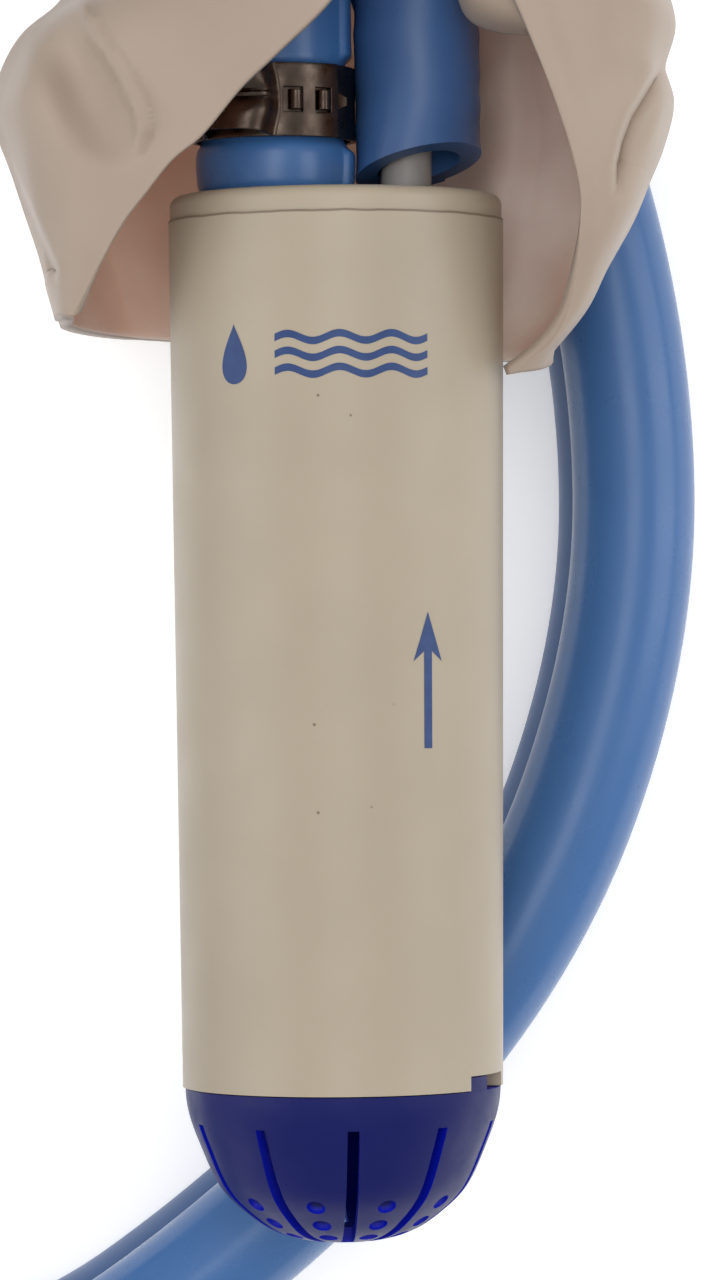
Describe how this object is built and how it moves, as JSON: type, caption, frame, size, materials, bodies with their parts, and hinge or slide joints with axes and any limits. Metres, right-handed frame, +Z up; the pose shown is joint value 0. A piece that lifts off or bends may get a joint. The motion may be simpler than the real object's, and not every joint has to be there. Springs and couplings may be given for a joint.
{
  "type": "bilge pump",
  "caption": "Submersible in-line water pump: drafted cylinder with a domed bayonet strainer, a barbed outlet, a twin hose with its plug and a soft dust cover.",
  "frame": {"origin": "centre of the pump and its dust cover, seen from above, on the surface they lie on", "axes": "+Y along the pump from strainer to outlet, +Z up, +X to the right of the outlet"},
  "size_m": [0.2708, 0.3347, 0.082],
  "materials": {
    "casing_plastic": "moulded ABS, drafted, gloss",
    "strainer_plastic": "navy polypropylene, fine spark texture",
    "hose_pvc": "extruded blue PVC",
    "cable_pvc": "light grey PVC jacket",
    "cover_rubber": "soft cream moulded rubber",
    "grommet_rubber": "black nitrile",
    "clamp_steel": "rolled stainless band",
    "inner_plastic": "natural acetal",
    "impeller_plastic": "white acetal",
    "motor_steel": "zinc plated steel",
    "shaft_steel": "ground stainless",
    "magnet_ferrite": "sintered ferrite",
    "core_steel": "laminated electrical steel",
    "bearing_bronze": "sintered bronze",
    "copper": "copper",
    "brass": "brass",
    "carbon": "carbon",
    "spring_steel": "spring wire",
    "plug_plastic": "black moulded nylon"
  },
  "bodies": {
    "pump": {"outer_casing": "casing_plastic", "top_cap": "casing_plastic", "cable_gland": "grommet_rubber", "impeller_chamber": "inner_plastic", "motor_pod": "inner_plastic", "pod_cap": "inner_plastic", "pod_o_ring": "grommet_rubber", "motor_can": "motor_steel", "motor_screws": "motor_steel", "field_magnets": "magnet_ferrite", "front_bearing": "bearing_bronze", "rear_bearing": "bearing_bronze", "motor_end_cap": "inner_plastic", "motor_terminals": "brass", "shaft_seal": "grommet_rubber", "brush_spring_upper": "spring_steel", "brush_spring_lower": "spring_steel", "hose_clamp": "clamp_steel", "water_hose": "hose_pvc", "cable_sleeve": "hose_pvc", "power_cable": "cable_pvc", "plug_body": "plug_plastic", "plug_lid": "plug_plastic", "plug_screw": "motor_steel", "plug_spigot": "plug_plastic", "plug_o_rings": "grommet_rubber", "plug_pins": "brass"},
    "rotor": {"motor_shaft": "shaft_steel", "armature_core": "core_steel", "armature_windings": "copper", "commutator": "copper", "impeller": "impeller_plastic"},
    "strainer": {"strainer": "strainer_plastic"},
    "brush_upper": {"brush_upper": "carbon"},
    "brush_lower": {"brush_lower": "carbon"},
    "dust_cover": {"dust_cover": "cover_rubber"}
  },
  "joints": [
    {"name": "rotor_spin", "type": "hinge", "parent": "pump", "child": "rotor", "pos_m": [0, 0, 0.05], "axis": [0, 1, 0], "continuous": true},
    {"name": "strainer_twist", "type": "hinge", "parent": "pump", "child": "strainer", "pos_m": [0, -0.0703, 0.05], "axis": [0, 1, 0], "range_deg": [0, 14]},
    {"name": "brush_upper_slide", "type": "slide", "parent": "pump", "child": "brush_upper", "axis": [0, 0, 1], "range_m": [0, 0.002], "stiffness_N_per_m": 60, "springref_m": -0.004, "deforming": ["brush_spring_upper"]},
    {"name": "brush_lower_slide", "type": "slide", "parent": "pump", "child": "brush_lower", "axis": [0, 0, -1], "range_m": [0, 0.002], "stiffness_N_per_m": 60, "springref_m": -0.004, "deforming": ["brush_spring_lower"]},
    {"name": "cover_slide", "type": "slide", "parent": "pump", "child": "dust_cover", "axis": [0, 1, 0], "range_m": [-0.018, 0.003]}
  ]
}
